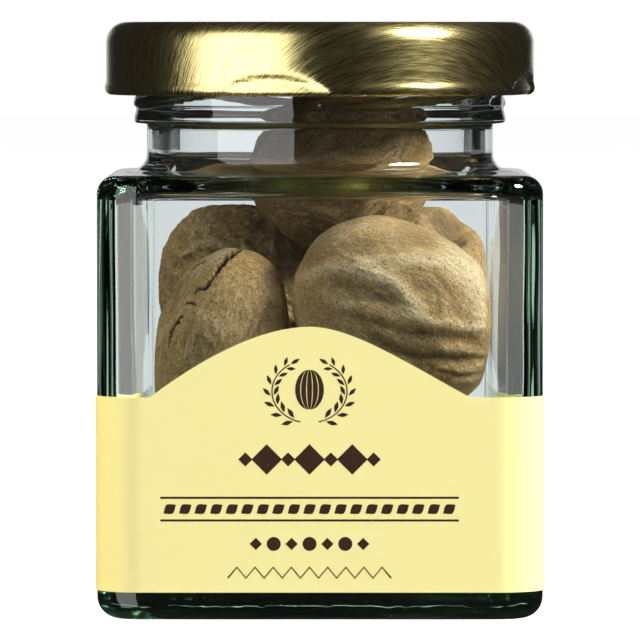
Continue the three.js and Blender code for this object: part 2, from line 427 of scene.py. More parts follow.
def nut_finish(nuts):
    """Dry seed skin: pale ridges and dark furrows that are partly painted highlight and shade,
    mottled browns and fine dark specks.
    """
    f = new_finish("NutmegSkin")
    relief = f.attribute("relief")
    crack = f.attribute("crack")
    where = f.place()
    own = f.node("ShaderNodeAttribute", {"attribute_name": "own"}, output=1)
    drawn_out = f.node("ShaderNodeMapping", None, {"Vector": own, "Scale": (0.2, 1.0, 1.0)})
    fibre = f.noise(drawn_out, 2300.0, detail=3.0, roughness=0.6, distortion=0.4)
    mottle = f.noise(where, 260.0, detail=6.0, roughness=0.66)
    # The ramp turns height into tone, from the furrows' dark brown to the ridges' pale brown:
    # partly the seed's own colour, partly painted shade in the furrows and painted highlight on the
    # ridges.
    ramp = {"stops": [(0.0, nuts.hollow), (0.42, nuts.skin), (1.0, nuts.ridge)]}
    level = relief * 0.9 + (mottle - 0.5) * 0.75 + 0.02
    tone = f.node("ShaderNodeValToRGB", ramp, [level])
    rust = f.noise(where, 130.0, detail=3.0).step(0.48, 0.72)
    tone = f.mix(rust * 0.35, tone, (0.2, 0.1, 0.036))
    ashen = f.noise(f.place(shift=(0.3, 0.1, 0.2)), 150.0, detail=3.0).step(0.5, 0.75)
    tone = f.mix(ashen * 0.18, tone, (0.23, 0.18, 0.10))
    fleck = f.noise(where, 4300.0, detail=2.0, roughness=0.6)
    tone = f.mix(fleck.step(0.52, 0.64) * 0.72, tone, (0.055, 0.034, 0.015))
    dust = f.noise(f.place(shift=(0.05, 0.02, 0.01)), 4700.0, detail=2.0).step(0.52, 0.68)
    # Pale dust and fibre lie heavier on the ridges: partly real dust, partly more of the ridges'
    # painted highlight.
    tone = f.mix(dust * (0.14 + relief * 0.42), tone, (0.55, 0.4, 0.205))
    tone = f.mix(fibre.step(0.54, 0.68) * (0.1 + relief * 0.5), tone, (0.56, 0.43, 0.25))
    tone = f.mix((1.0 - fibre.step(0.34, 0.44)) * 0.4, tone, (0.085, 0.05, 0.02))
    pits = f.noise(f.place(shift=(0.4, 0.2, 0.3)), 2000.0, detail=1.0).step(0.7, 0.76)
    tone = f.mix(pits * 0.7, tone, (0.035, 0.02, 0.01))
    tone = f.mix(crack, tone, (0.012, 0.008, 0.005))
    fine = fleck * -0.5 + f.noise(where, 1500.0, detail=4.0, roughness=0.6) * 0.9 - pits * 0.5
    fine = fine + fibre * 0.6
    return f.coated(
        {
            "Base Color": tone,
            "Roughness": 0.84 - relief * 0.16,
            "Specular IOR Level": 0.3,
            "Normal": f.bump(fine, 0.00016, 0.8),
        }
    )


def floor_finish():
    """Pale studio floor that glows near white to the camera, so it shows no shadow."""
    f = new_finish("StudioFloor")
    grain = f.noise(f.place(), 400.0, detail=2.0)
    tone = f.mix(grain * 0.02, (0.3, 0.3, 0.3), (0.26, 0.26, 0.27))
    glow = f.mix(f.light_path("Is Camera Ray"), (0.08, 0.08, 0.08), (0.97, 0.97, 0.97))
    return f.coated(
        {
            "Base Color": tone,
            "Roughness": 0.9,
            "Specular IOR Level": 0.1,
            "Emission Color": glow,
            "Emission Strength": 1.0,
        }
    )


def card_finish(name, glow, side_glow=None):
    """A card with a faint or strong glow of its own, patchy as painted board is.

    A side glow turns the side cards grey between the jar's base and shoulder, and the left one
    paler farther back.
    """
    f = new_finish(name)
    patches = f.noise(f.place(), 9.0, detail=3.0).step(0.35, 0.7)
    tone = f.mix(patches, (0.3 * glow,) * 3, (glow,) * 3)
    if side_glow:
        sideways, up, back = f.axis(0), f.axis(1), f.axis(2)
        beside = sideways.sum("ABSOLUTE", sideways).step(0.322, 0.332)
        beside = beside * (1.0 - up.step(0.018, 0.026)) * up.step(-0.036, -0.03)
        near = back.step(-1.45, -1.15)
        right = sideways.step(-0.01, 0.01)
        far = f.mix(right, (4.4 * side_glow,) * 3, (1.2 * side_glow,) * 3)
        side = f.mix(near, far, (side_glow,) * 3)
        tone = f.mix(beside, tone, side)
    return f.coated(
        {
            "Base Color": (0, 0, 0, 1),
            "Specular IOR Level": 0.0,
            "Emission Color": tone,
            "Emission Strength": 1.0,
        }
    )


# ------------------------------------------------------------------ modelling helpers


def piece_from(bm, name, material, nodes=(), smooth=True):
    """Turns a bmesh into a finished piece at the origin that rides on the jar."""
    mesh = bpy.data.meshes.new(name)
    bm.to_mesh(mesh)
    bm.free()
    for face in mesh.polygons:
        face.use_smooth = smooth
    piece = bpy.data.objects.new(name, mesh)
    bpy.context.scene.collection.objects.link(piece)
    mesh.materials.append(material)
    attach(piece, "root")
    if nodes:
        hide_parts(*nodes)
    return piece


def smoothstep(value, low=0.0, high=1.0):
    t = min(1.0, max(0.0, (value - low) / (high - low)))
    return t * t * (3 - 2 * t)


def arc(centre, middle, size, start, end, steps):
    """Points of a profile's arc as (radius, height) pairs, angles in degrees."""
    angles = [math.radians(start + (end - start) * i / steps) for i in range(steps + 1)]
    return [(centre + size * math.cos(a), middle + size * math.sin(a)) for a in angles]


def square_reach(bearing, half, corner):
    """How far a rounded square's outline is from its middle in one direction."""
    dx, dy = abs(math.cos(bearing)), abs(math.sin(bearing))
    c = half - corner
    if half * dy <= c * dx:
        return half / dx
    if half * dx <= c * dy:
        return half / dy
    along = c * (dx + dy)
    return along + math.sqrt(max(0.0, along * along - 2 * c * c + corner * corner))


def square_bearings(half, corner, flat_steps, corner_steps):
    """Bearings round a rounded square, close together where it turns."""
    flat = math.atan((half - corner) / half)
    quarter = [-flat + 2 * flat * i / flat_steps for i in range(flat_steps)]
    c = half - corner
    for i in range(corner_steps):
        a = math.pi / 2 * i / corner_steps
        quarter.append(math.atan2(c + corner * math.sin(a), c + corner * math.cos(a)))
    return [q + math.pi / 2 * k for k in range(4) for q in quarter]


# ------------------------------------------------------------------ glass


def glass_stations(g):
    """The jar's skin from the middle of the base, up the outside, over the lip and down inside.

    Each station is (height, half side, corner, radius, roundness): a rounded square that turns
    into a circle as roundness goes from 0 to 1.
    """
    half, corner, edge = g.side / 2, g.corner, g.edge
    stations = []
    for size in (2, 5, 8, 11, 14, 16, 17, 18, 19, 20, 21, 22):
        size *= MM
        lift = g.push_up * (1 - smoothstep(size, 0.0, 20.5 * MM))
        stations.append((lift, size, min(size, corner - edge), 0, 0))
    for r, z in arc(half - edge, edge, edge, -90, 0, 10):
        stations.append((z, r, corner - half + r, 0, 0))
    wall_steps, top = 14, g.height - g.shoulder_edge
    for i in range(1, wall_steps):
        stations.append((edge + (top - edge) * i / wall_steps, half, corner, 0, 0))
    edge = g.shoulder_edge
    for r, z in arc(half - edge, top, edge, 0, 90, 10):
        stations.append((z, r, corner - half + r, 0, 0))
    flare, slope = 1.9 * MM, 0.25 * MM
    foot = g.neck + flare
    for i in range(1, 8):
        k = smoothstep(i / 8)
        stations.append((g.height + slope * i / 8, half - edge, corner - edge, foot, k))
    base = g.height + slope
    for r, z in arc(foot, base + flare, flare, 270, 180, 8):
        stations.append((z, 0, 0, r, 1))
    for i in range(1, 6):
        z = base + flare + (g.bead_low - 0.1 * MM - base - flare) * i / 6
        stations.append((z, 0, 0, g.neck, 1))
    stations.append((g.bead_low - 0.12 * MM, 0, 0, g.neck + 0.03 * MM, 1))
    turn_out = 0.38 * MM
    for r, z in arc(g.bead - turn_out, g.bead_low + turn_out, turn_out, -90, 0, 8):
        stations.append((z, 0, 0, r, 1))
    for i in range(1, 7):
        z = g.bead_low + turn_out + (g.bead_high - g.bead_low - turn_out) * i / 6
        stations.append((z, 0, 0, g.bead + (g.finish - g.bead) * smoothstep(i / 6), 1))
    lip = 1.2 * MM
    low = g.bead_high + 0.1 * MM
    thread_steps = 40
    for i in range(thread_steps + 1):
        stations.append((low + (g.rim - lip - low) * i / thread_steps, 0, 0, g.finish, 1))
    for r, z in arc(g.finish - lip, g.rim - lip, lip, 10, 90, 6):
        stations.append((z, 0, 0, r, 1))
    lip = 0.9 * MM
    for r, z in arc(g.bore + lip, g.rim - lip, lip, 90, 180, 6):
        stations.append((z, 0, 0, r, 1))
    return stations


def glass_hollow(g):
    """The stations of the inside, from the mouth down to the middle of the floor."""
    half, corner = g.side / 2 - g.wall, g.inner_corner
    ceiling, sag = g.height - g.shoulder, 0.2 * MM
    soft, edge = 3.0 * MM, 0.9 * MM
    stations = []
    for i in range(1, 13):
        stations.append((g.rim - 1.5 * MM - 1.15 * MM * i, 0, 0, g.bore, 1))
    for r, z in arc(g.bore + soft, ceiling + soft, soft, 180, 270, 8):
        stations.append((z, 0, 0, r, 1))
    for i in range(1, 10):
        k = 1 - smoothstep(i / 9)
        z = ceiling - sag * i / 9
        stations.append((z, half - edge, corner - edge * 0.7, g.bore + soft, k))
    for r, z in arc(half - edge, ceiling - edge - sag, edge, 80, 0, 8):
        stations.append((z, r, corner + 0.7 * (r - half), 0, 0))
    heel = 3.2 * MM
    start, end = ceiling - edge - sag, g.floor + heel
    wall_steps, thicker = 40, 0.1 * MM
    for i in range(1, wall_steps):
        share = i / wall_steps
        filled = thicker * smoothstep(share, 0.0, 0.7)
        stations.append((start + (end - start) * share, half - filled, corner, 0, 0))
    for r, z in arc(half - heel, g.floor + heel, heel, 0, -90, 10):
        stations.append((z, r - thicker, max(corner + 0.6 * (r - half), 1.2 * MM), 0, 0))
    for size in (17, 14, 11, 8, 5, 2):
        dome = 0.5 * MM * (1 - smoothstep(size, 4, 18))
        stations.append((g.floor + dome, size * MM, min(size * MM, 4 * MM), 0, 0))
    return stations


def thread_height(g, bearing, height):
    """How far the thread ridges stand out of the finish at one place."""
    climb, run = 0.109, 24 * MM
    tall, proud = 1.15 * MM, 1.25 * MM
    first = math.radians(268)
    along = ((bearing - first) % (FULL_TURN / 4)) * g.finish
    if along > run:
        return 0.0
    middle = g.thread_low + climb * along
    start = smoothstep(along, 0, 12 * MM)
    ends = smoothstep(along, 0, 1.5 * MM) * (1 - smoothstep(along, run - 3 * MM, run))
    ends *= 0.25 + 0.75 * start
    across = (height - middle) / (tall * (0.4 + 0.6 * start))
    return proud * ends * math.sqrt(max(0.0, 1 - across * across))


def inside_ripple(g, place):
    """The uneven inside of blown glass, broad waves that run mostly up and down."""
    p = Vector((place.x * 120, place.y * 120, place.z * 38))
    slow = noise.noise(p)
    quick = noise.noise(p * 2.3 + Vector((4, 7, 1)))
    return g.waviness * (slow + 0.35 * quick)


def build_glass(context):
    g = context.scene.nutmeg_jar.glass
    half = g.side / 2
    bearings = square_bearings(half, g.corner, 26, 24)
    outside = glass_stations(g)
    stations = outside + glass_hollow(g)
    bm = bmesh.new()
    ring = bmesh.ops.create_circle(bm, segments=len(bearings), radius=1)["verts"]
    for vert, bearing in zip(ring, bearings):
        vert.co = (math.cos(bearing), math.sin(bearing), 0)
    edges = list(bm.edges)
    first = list(ring)
    for index, (height, side, corner, radius, roundness) in enumerate(stations):
        if index:
            grown = bmesh.ops.extrude_edge_only(bm, edges=edges)["geom"]
            ring = [e for e in grown if isinstance(e, bmesh.types.BMVert)]
            edges = ring_edges(grown, ring)
        for vert in ring:
            bearing = math.atan2(vert.co.y, vert.co.x)
            square = square_reach(bearing, side, corner) if roundness < 1 else 0.0
            reach = square + (radius - square) * roundness
            place = Vector((math.cos(bearing), math.sin(bearing), 0))
            if index < len(outside):
                if height > g.bead_low + 0.5 * MM and reach > g.finish - 0.2 * MM:
                    reach += max(0.0, thread_height(g, bearing, height) - (reach - g.finish))
            else:
                calm = smoothstep(reach, 12 * MM, 20 * MM)
                reach += calm * inside_ripple(g, place * reach + Vector((0, 0, height)))
            vert.co = place * reach
            vert.co.z = height
    for verts, height in ((first, stations[0][0]), (ring, stations[-1][0])):
        bmesh.ops.pointmerge(bm, verts=verts, merge_co=(0, 0, height))
    bmesh.ops.recalc_face_normals(bm, faces=bm.faces)
    piece_from(bm, "glass_jar", glass_finish(g), ["jar"])


def ring_edges(grown, ring):
    """The edges among newly grown geometry that join two vertices of the new ring."""
    members = set(ring)
    edges = [e for e in grown if isinstance(e, bmesh.types.BMEdge)]
    return [e for e in edges if e.verts[0] in members and e.verts[1] in members]


# ------------------------------------------------------------------ lid


def lid_profile(lid):
    """The lid's section: from the middle of the top, down the skirt, round the curl and back."""
    r, t = lid.radius, lid.sheet
    panel = lid.high - lid.drop
    points = [(0.0, panel + 0.34 * MM), (3 * MM, panel + 0.32 * MM), (5.5 * MM, panel + 0.24 * MM)]
    points += [(7.2 * MM, panel + 0.08 * MM), (8.2 * MM, panel), (12 * MM, panel)]
    points += arc(lid.panel - 0.7 * MM, panel + 0.45 * MM, 0.45 * MM, 270, 330, 4)
    points += arc(lid.panel + 0.75 * MM, lid.high - 0.45 * MM, 0.45 * MM, 150, 90, 4)
    points += [(lid.panel + 2.5 * MM, lid.high), (r - lid.edge - 1.2 * MM, lid.high)]
    points += arc(r - lid.edge, lid.high - lid.edge, lid.edge, 90, 0, 12)
    swell, blend = 0.19 * MM, 0.9 * MM
    start, end = lid.high - lid.edge, lid.low + lid.curl + blend
    points += [(r, start + (end - start) * i / 8) for i in range(1, 9)]
    points += [(r + swell * smoothstep(i / 6), end - blend * i / 6) for i in range(1, 6)]
    points += arc(r + swell - lid.curl, lid.low + lid.curl, lid.curl, 0, -190, 12)
    points += [(r - t, lid.low + 2 * lid.curl + 0.4 * MM)]
    points += [(r - t, end + (start - end) * i / 6) for i in range(1, 6)]
    points += arc(r - lid.edge, lid.high - lid.edge, lid.edge - t, 0, 90, 6)
    points += [(lid.panel + 2.5 * MM, lid.high - t), (lid.panel + 0.9 * MM, lid.high - t)]
    points += [(lid.panel + 0.2 * MM, panel - t), (8 * MM, panel - t), (0.0, panel - t)]
    return points


def lug_dimple(lid, place):
    """How far one of the four lugs pulls the skirt in at a place."""
    front_lug = 256.7  # its bearing in degrees
    half_width, tall, spread = 5.3 * MM, 2.5 * MM, 1.25
    skirt = math.hypot(place.x, place.y)
    if skirt < lid.radius - 2 * MM:
        return 0.0
    bearing = math.degrees(math.atan2(place.y, place.x)) - front_lug
    off = (bearing + 45) % 90 - 45
    across = math.radians(off) * lid.radius / half_width
    if abs(across) > spread:
        return 0.0
    dome = tall * math.sqrt(max(0.0, 1 - (across / spread) ** 2))
    rise = 1 - smoothstep(place.z - lid.low, dome - 0.7 * MM, dome + 0.3 * MM)
    return lid.dimple * rise * (1 - 0.3 * across * across)


def build_lid(context):
    lid = context.scene.nutmeg_jar.lid
    profile = lid_profile(lid)
    travelled, total = {}, 0.0
    last = profile[0]
    for point in profile:
        total += math.dist(point, last)
        travelled[(round(point[0], 6), round(point[1], 6))] = total
        last = point
    bm = bmesh.new()
    line = [bm.verts.new((x, 0, z)) for x, z in profile]
    edges = [bm.edges.new(pair) for pair in zip(line, line[1:])]
    bmesh.ops.spin(
        bm,
        geom=line + edges,
        cent=(0, 0, 0),
        axis=(0, 0, 1),
        angle=FULL_TURN,
        steps=192,
        use_merge=True,
    )
    bmesh.ops.remove_doubles(bm, verts=bm.verts, dist=1e-7)
    sheet = bm.loops.layers.uv.new("Sheet")
    for face in bm.faces:
        for loop in face.loops:
            x, y, z = loop.vert.co
            key = (round(math.hypot(x, y), 6), round(z, 6))
            out = travelled.get(key, key[0])
            bearing = math.atan2(y, x)
            loop[sheet].uv = (out * math.cos(bearing), out * math.sin(bearing))
    for vert in bm.verts:
        pull = lug_dimple(lid, vert.co)
        if pull:
            out = Vector((vert.co.x, vert.co.y, 0)).normalized()
            vert.co -= out * pull
    bmesh.ops.recalc_face_normals(bm, faces=bm.faces)
    piece_from(bm, "twist_lid", lid_finish(lid), ["lid"])


# ------------------------------------------------------------------ label


def wave_line(label):
    """The front's upper edge as (x, z) points from the left foot to the right foot."""
    crest = Vector((label.peak_x, label.peak, 0))
    left = Vector((label.left_foot, label.high, 0))
    right = Vector((label.right_foot, label.high, 0))
    left_pull, right_pull = Vector((7, 5.3, 0)) * MM, Vector((-8, 4.4, 0)) * MM
    crest_left, crest_right = Vector((5, 0, 0)) * MM, Vector((4.5, 0, 0)) * MM
    steps = 40
    rise = interpolate_bezier(left, left + left_pull, crest - crest_left, crest, steps)
    fall = interpolate_bezier(crest, crest + crest_right, right + right_pull, right, steps)
    return rise + fall[1:]


def top_edge(label, line, x):
    """Height of the label's upper edge at a place on the front."""
    for a, b in zip(line, line[1:]):
        if a.x <= x <= b.x:
            share = (x - a.x) / max(b.x - a.x, 1e-9)
            return a.y + (b.y - a.y) * share
    return label.high


def round_the_jar(s, half, corner):
    """The point of a rounded square's outline that lies s along it from the front's middle."""
    turn = 1 if s >= 0 else -1
    s = abs(s)
    flat, bend = half - corner, corner * math.pi / 2
    if s <= flat:
        x, y = s, -half
    elif s <= flat + bend:
        a = (s - flat) / corner
        x, y = flat + corner * math.sin(a), -flat - corner * math.cos(a)
    elif s <= 3 * flat + bend:
        x, y = half, s - flat - bend - flat
    elif s <= 3 * flat + 2 * bend:
        a = (s - 3 * flat - bend) / corner
        x, y = flat + corner * math.cos(a), flat + corner * math.sin(a)
    else:
        x, y = flat - (s - 3 * flat - 2 * bend), half
    return turn * x, y


def build_label(context):
    settings = context.scene.nutmeg_jar
    label, glass = settings.label, settings.glass
    outer = (LABEL_HIGH.x - LABEL_LOW.x) / 2
    corner = glass.corner + outer - glass.side / 2
    flat = outer - corner
    reach = 2 * flat + corner * math.pi / 2 + label.side_end
    line = wave_line(label)
    bm = bmesh.new()
    bmesh.ops.create_grid(bm, x_segments=560, y_segments=26, size=1)
    for vert in bm.verts:
        s = vert.co.x * reach
        up = (vert.co.y + 1) / 2
        x, y = round_the_jar(s, outer, corner)
        top = top_edge(label, line, x) if abs(s) < flat else label.high
        vert.co = (x, y, label.low + (top - label.low) * up)
    bmesh.ops.recalc_face_normals(bm, faces=bm.faces)
    front = min(bm.faces, key=lambda face: face.calc_center_median().y)
    if front.normal.y > 0:
        bmesh.ops.reverse_faces(bm, faces=bm.faces)
    bmesh.ops.solidify(bm, geom=list(bm.faces), thickness=label.paper)
    piece = piece_from(bm, "paper_label", paper_finish(label), ["label"])
    piece.data.set_sharp_from_angle(angle=math.radians(50))


# ------------------------------------------------------------------ print


def flat_disc(bm, x, z, wide, tall, turn=0.0, segments=32, point=0.0):
    """A disc, or with point above 0 a leaf, that lies in the front's plane."""
    made = bmesh.ops.create_circle(bm, cap_ends=True, segments=segments, radius=1)["verts"]
    c, s = math.cos(turn), math.sin(turn)
    for vert in made:
        u, v = vert.co.x, vert.co.y
        v *= 1 - point * abs(u) ** 1.5
        u, v = u * wide, v * tall
        vert.co = (x + u * c - v * s, 0, z + u * s + v * c)


def flat_bar(bm, x, z, wide, tall, turn=0.0):
    made = bmesh.ops.create_grid(bm, x_segments=1, y_segments=1, size=1)["verts"]
    c, s = math.cos(turn), math.sin(turn)
    for vert in made:
        u, v = vert.co.x * wide, vert.co.y * tall
        vert.co = (x + u * c - v * s, 0, z + u * s + v * c)


def print_piece(bm, name, material):
    """Lays flat shapes on the front of the label as a skin of ink."""
    thickness = 0.012 * MM
    face_y = LABEL_LOW.y - thickness
    for vert in bm.verts:
        vert.co.y = face_y
    for face in bm.faces:
        face.normal_update()
        if face.normal.y > 0:
            face.normal_flip()
    piece = piece_from(bm, name, material, smooth=False)
    skin = piece.modifiers.new("Ink", "SOLIDIFY")
    skin.thickness = thickness
    skin.offset = -1.0


def flat_ribbon(bm, points, half_width):
    """A strip of even width along a line of (x, z) points."""
    last = None
    for i, (x, z) in enumerate(points):
        ax, az = points[max(i - 1, 0)]
        bx, bz = points[min(i + 1, len(points) - 1)]
        long = math.hypot(bx - ax, bz - az)
        nx, nz = -(bz - az) / long * half_width, (bx - ax) / long * half_width
        pair = (bm.verts.new((x + nx, 0, z + nz)), bm.verts.new((x - nx, 0, z - nz)))
        if last:
            bm.faces.new((last[0], last[1], pair[1], pair[0]))
        last = pair


def wreath_side(bm, x, z, wide, tall, side):
    """Half of a wreath: a bowed stem with paired leaves that get smaller towards its tip."""
    start, end, leaves = math.radians(-76), math.radians(58), 7

    def on_stem(k):
        a = start + (end - start) * k
        return x + side * wide * math.cos(a), z + tall * math.sin(a)

    flat_ribbon(bm, [on_stem(i / 24) for i in range(25)], 0.07 * MM)
    for i in range(leaves):
        k = (i + 0.55) / leaves
        (ax, az), (px, pz), (bx, bz) = on_stem(k - 0.02), on_stem(k), on_stem(k + 0.02)
        along = math.atan2(bz - az, bx - ax)
        reach = (0.78 - 0.2 * k) * MM
        for way in (-1, 1):
            lean = along + way * math.radians(36)
            off = 0.16 * MM
            cx = px + reach * math.cos(lean) - way * off * math.sin(along)
            cz = pz + reach * math.sin(lean) + way * off * math.cos(along)
            flat_disc(bm, cx, cz, reach * 0.92, reach * 0.34, lean, 20, 0.8)
    tip_x, tip_z = on_stem(1.0)
    lean = math.atan2(tip_z - on_stem(0.95)[1], tip_x - on_stem(0.95)[0])
    tip_x, tip_z = tip_x + 0.75 * MM * math.cos(lean), tip_z + 0.75 * MM * math.sin(lean)
    flat_disc(bm, tip_x, tip_z, 0.62 * MM, 0.22 * MM, lean, 20, 0.8)


def seed_mark(bm, x, z, wide, tall):
    """An oval seed, cut into five upright gores with pale lines between them."""
    gores, gap = 5, 0.16
    for i in range(gores):
        low = -1 + 2 * (i + gap / 2) / gores
        high = -1 + 2 * (i + 1 - gap / 2) / gores
        steps = 14
        left, right = [], []
        for j in range(1, steps):
            a = math.pi * (j / steps - 0.5)
            left.append((x + wide * low * math.cos(a), z + tall * math.sin(a)))
            right.append((x + wide * high * math.cos(a), z + tall * math.sin(a)))
        outline = [bm.verts.new((px, 0, pz)) for px, pz in left + right[::-1]]
        bm.faces.new(outline)


def build_print(context):
    label = context.scene.nutmeg_jar.label
    ink = ink_finish("BrownInk", label.ink)
    soft = ink_finish("SoftBrownInk", label.soft_ink)
    x = -1.2 * MM

    bm = bmesh.new()
    centre = 26.4 * MM
    seed_mark(bm, x, centre + 0.2 * MM, 1.7 * MM, 2.3 * MM)
    for side in (-1, 1):
        wreath_side(bm, x, centre, 4.3 * MM, 3.6 * MM, side)
    print_piece(bm, "print_wreath", ink)

    bm = bmesh.new()
    row = 18.6 * MM
    for i in range(-3, 4):
        size = (0.72 if i % 2 else 1.55) * MM
        flat_bar(bm, x + i * 2.45 * MM, row, 0.8 * size, 0.8 * size, math.pi / 4)
    print_piece(bm, "print_lozenges", ink)

    bm = bmesh.new()
    row = 12.9 * MM
    for i in range(-9, 10):
        flat_disc(bm, x + i * 1.78 * MM, row, 0.86 * MM, 0.62 * MM, math.radians(35), 20, 0.8)
    for edge in (-1, 1):
        flat_bar(bm, x, row + edge * 1.3 * MM, 17.1 * MM, 0.12 * MM)
    print_piece(bm, "print_leaf_band", ink)

    bm = bmesh.new()
    row = 8.9 * MM
    for i in range(-3, 4):
        if i % 2:
            flat_bar(bm, x + i * 2.05 * MM, row, 0.5 * MM, 0.5 * MM, math.pi / 4)
        else:
            flat_disc(bm, x + i * 2.05 * MM, row, 0.8 * MM, 0.8 * MM)
    print_piece(bm, "print_dots", ink)

    bm = bmesh.new()
    row, teeth = 5.6 * MM, 18
    points = []
    for i in range(teeth + 1):
        height = row + (0.62 if i % 2 else -0.62) * MM
        points.append((x + (i - teeth / 2) * 1.04 * MM, height))
    flat_ribbon(bm, points, 0.11 * MM)
    print_piece(bm, "print_zigzag", soft)


# ------------------------------------------------------------------ nutmegs

# How each nutmeg is turned about X, Y and Z in degrees, its seed, how strongly it is furrowed
# and how rough its skin is.
NUTS = {
    "nutmeg_front_right": ((0, 33, 4), 3.0, 0.35, 0.55),
    "nutmeg_front_left": ((0, 107, -6), 11.0, 0.3, 0.8),
    "nutmeg_back_left": ((0, 42, 0), 23.0, 0.8, 2.6),
    "nutmeg_back_right": ((0, -51, -42), 31.0, 0.7, 1.8),
    "nutmeg_top": ((18, -22, -6), 43.0, 0.9, 1.0),
    "nutmeg_low_front": ((5, 6, 6), 57.0, 1.0, 1.0),
    "nutmeg_low_left": ((-6, 5, 84), 61.0, 1.0, 1.2),
    "nutmeg_low_right": ((10, -4, 40), 79.0, 0.9, 1.0),
}

# Ridges, furrows and cracks on the nuts that show most, as lines of (x, z) in millimetres.
# Each has a half width and a height; a furrow's height is below 0, a crack's is -1 or less.
# Their heights also set the tone, so the ridges are painted paler and the furrows darker, partly as
# painted highlight and shade.
LINES = {
    "nutmeg_front_right": [
        (1.0, 0.30, [(-2.2, 39.0), (-0.5, 39.7), (1.6, 40.1), (4.1, 40.4), (6.1, 39.7)]),
        (1.0, 0.36, [(4.6, 40.3), (7.9, 39.1), (9.4, 37.8), (10.4, 36.5), (11.2, 35.5)]),
        (0.8, 0.16, [(4.6, 41.2), (6.9, 41.4), (9.4, 41.2), (11.2, 41.0)]),
        (1.2, 0.36, [(12.4, 42.2), (14.4, 41.5), (16.2, 40.6), (17.5, 39.5), (18.3, 37.5)]),
        (1.1, 0.30, [(17.9, 38.7), (18.5, 36.5), (18.6, 34.8), (18.6, 33.8), (18.8, 32.8)]),
        (0.8, 0.26, [(9.2, 35.5), (11.2, 34.5), (12.9, 33.9), (14.5, 34.1), (18.5, 32.9)]),
        (0.8, 0.15, [(0.8, 36.5), (3.6, 35.7), (5.9, 35.7), (7.9, 35.0), (9.9, 34.3)]),
        (0.5, 0.20, [(13.5, 31.0), (15.9, 31.2), (17.3, 30.7), (19.3, 30.2)]),
        (0.6, 0.18, [(13.5, 29.0), (15.7, 28.3), (17.3, 28.2), (18.8, 28.9)]),
        (0.5, 0.15, [(14.7, 27.4), (16.8, 27.0), (18.2, 27.3)]),
        (0.9, 0.16, [(-1.8, 42.6), (0.3, 43.6), (2.3, 44.4), (5.3, 45.1), (7.9, 45.4)]),
        (1.1, -0.22, [(9.9, 39.6), (11.6, 38.9), (12.9, 38.1), (15.0, 37.6)]),
        (0.8, -0.12, [(0.3, 39.2), (2.3, 38.8), (4.6, 37.9), (6.9, 37.0), (8.6, 36.1)]),
        (0.6, -0.20, [(2.8, 34.9), (5.6, 34.3), (7.9, 33.4), (10.6, 32.8), (12.4, 32.9)]),
        (0.9, -0.32, [(11.9, 32.4), (13.5, 32.6), (15.2, 32.3), (16.8, 32.0), (18.5, 31.8)]),
        (0.6, -0.20, [(6.3, 32.2), (8.6, 31.0), (11.2, 29.9), (13.2, 29.6)]),
        (0.5, -0.22, [(13.2, 30.1), (15.7, 29.6), (17.3, 29.5), (19.2, 29.6)]),
        (0.5, -0.16, [(14.2, 28.0), (16.2, 27.6), (18.2, 28.0)]),
        (0.9, -0.14, [(9.6, 45.0), (11.2, 44.3), (12.2, 43.3), (12.9, 42.6)]),
    ],
    "nutmeg_back_right": [
        (1.2, -0.9, [(14.5, 45.3), (15.4, 44.4), (16.3, 43.2)]),
    ],
    "nutmeg_front_left": [
        (0.29, -1.2, [(-9.3, 42.2), (-10.4, 41.5), (-11.1, 41.0), (-11.7, 40.2), (-12.2, 39.4)]),
        (0.21, -1.1, [(-12.1, 39.6), (-12.8, 38.6), (-13.3, 37.9), (-14.1, 37.8), (-14.6, 37.3)]),
        (0.13, -1.0, [(-16.0, 34.6), (-16.8, 33.7), (-17.4, 32.7), (-17.6, 31.7), (-17.7, 31.0)]),
        (0.10, -1.0, [(-15.6, 36.0), (-15.1, 36.2), (-14.3, 35.9)]),
        (0.13, -1.0, [(-17.0, 38.3), (-17.7, 37.4), (-18.1, 36.1), (-18.3, 35.2)]),
        (0.09, -1.0, [(-15.0, 39.9), (-14.3, 40.4), (-13.2, 40.8)]),
        (0.55, 0.24, [(-14.8, 39.6), (-13.4, 40.7), (-11.7, 41.6), (-9.9, 42.5)]),
        (0.80, -0.20, [(-17.6, 38.2), (-17.5, 37.0)]),
        (1.60, 0.14, [(-12.4, 33.5), (-10.9, 32.3)]),
        (0.90, -0.14, [(-14.2, 31.6), (-12.4, 31.2), (-11.3, 31.9)]),
    ],
}


def distance_to_line(x, z, points):
    """Distance from a point to a chain of straight stretches, and the share of its length there."""
    best, place = 1e9, 0.0
    for i, ((ax, az), (bx, bz)) in enumerate(zip(points, points[1:])):
        dx, dz = bx - ax, bz - az
        t = ((x - ax) * dx + (z - az) * dz) / (dx * dx + dz * dz)
        t = min(1.0, max(0.0, t))
        d = math.hypot(x - ax - dx * t, z - az - dz * t)
        if d < best:
            best, place = d, (i + t) / (len(points) - 1)
    return best, place


def boxed_lines(name):
    """A nut's lines, each with the box outside which it has no effect."""
    made = []
    for half_width, lift, points in LINES.get(name, ()):
        xs, zs = [x for x, _ in points], [z for _, z in points]
        margin = 2.6 * half_width + 0.3
        box = (min(xs) - margin, max(xs) + margin, min(zs) - margin, max(zs) + margin)
        made.append((half_width, lift, points, box))
    return made


